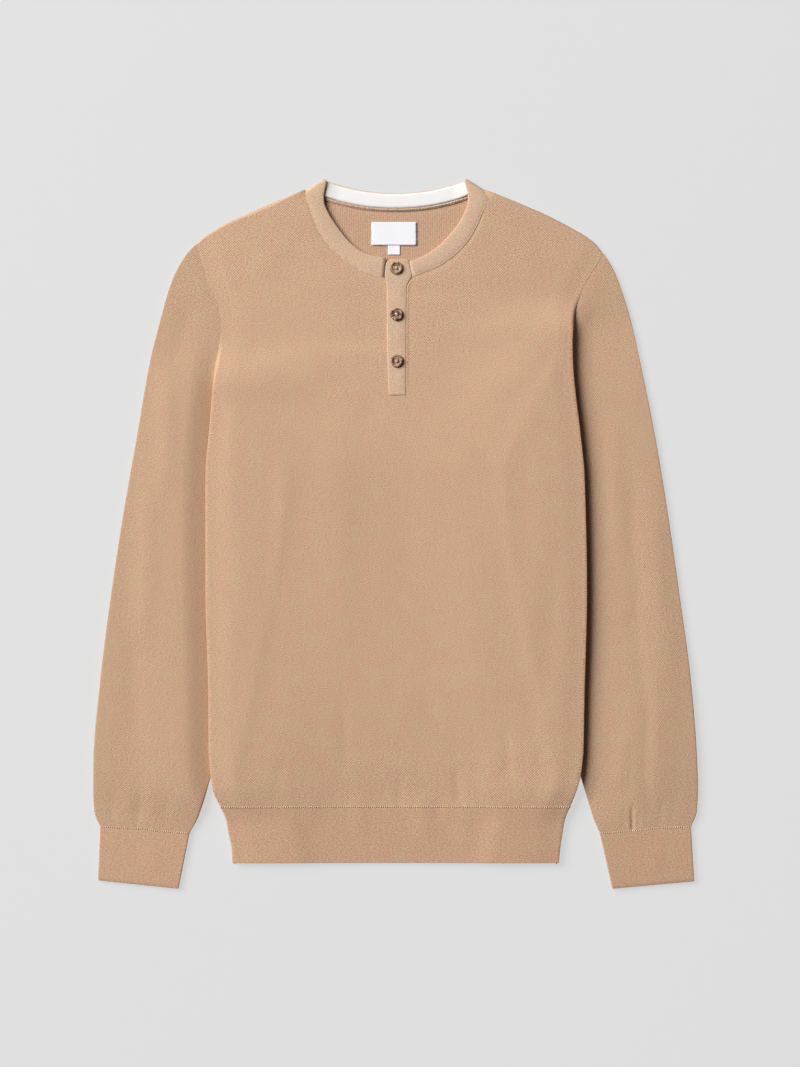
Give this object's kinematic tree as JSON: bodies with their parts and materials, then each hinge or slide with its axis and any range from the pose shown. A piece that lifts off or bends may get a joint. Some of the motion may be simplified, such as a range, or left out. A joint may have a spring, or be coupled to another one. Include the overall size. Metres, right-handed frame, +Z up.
{
  "type": "sweater",
  "caption": "Long-sleeved henley sweater in beige melange knit, laid flat with its sides turned under, with a buttoned placket, open round neck, plain cuffs and hem band.",
  "frame": {"origin": "middle of the outline on the surface the sweater lies on", "axes": "+Y from hem to neck, +X towards the wearer's left sleeve (the viewer's right), +Z up out of the front panel"},
  "size_m": [0.6172, 0.7256, 0.0129],
  "materials": {
    "knit": "matte melange pique knit",
    "band_knit": "matte melange plain knit",
    "white_tape": "matte woven tape",
    "horn_button": "marbled, satin polish"
  },
  "bodies": {
    "root": {"front": "knit", "back": "knit", "sleeve_left": "knit", "sleeve_right": "knit", "cuff_left": "band_knit", "cuff_right": "band_knit", "hem_band_front": "band_knit", "hem_band_back": "band_knit", "neckband": "band_knit", "placket_top": "band_knit", "placket_under": "band_knit", "neck_tape": "white_tape", "label": "white_tape", "size_tag": "white_tape", "button_1": "horn_button", "button_2": "horn_button", "button_3": "horn_button"}
  },
  "joints": []
}
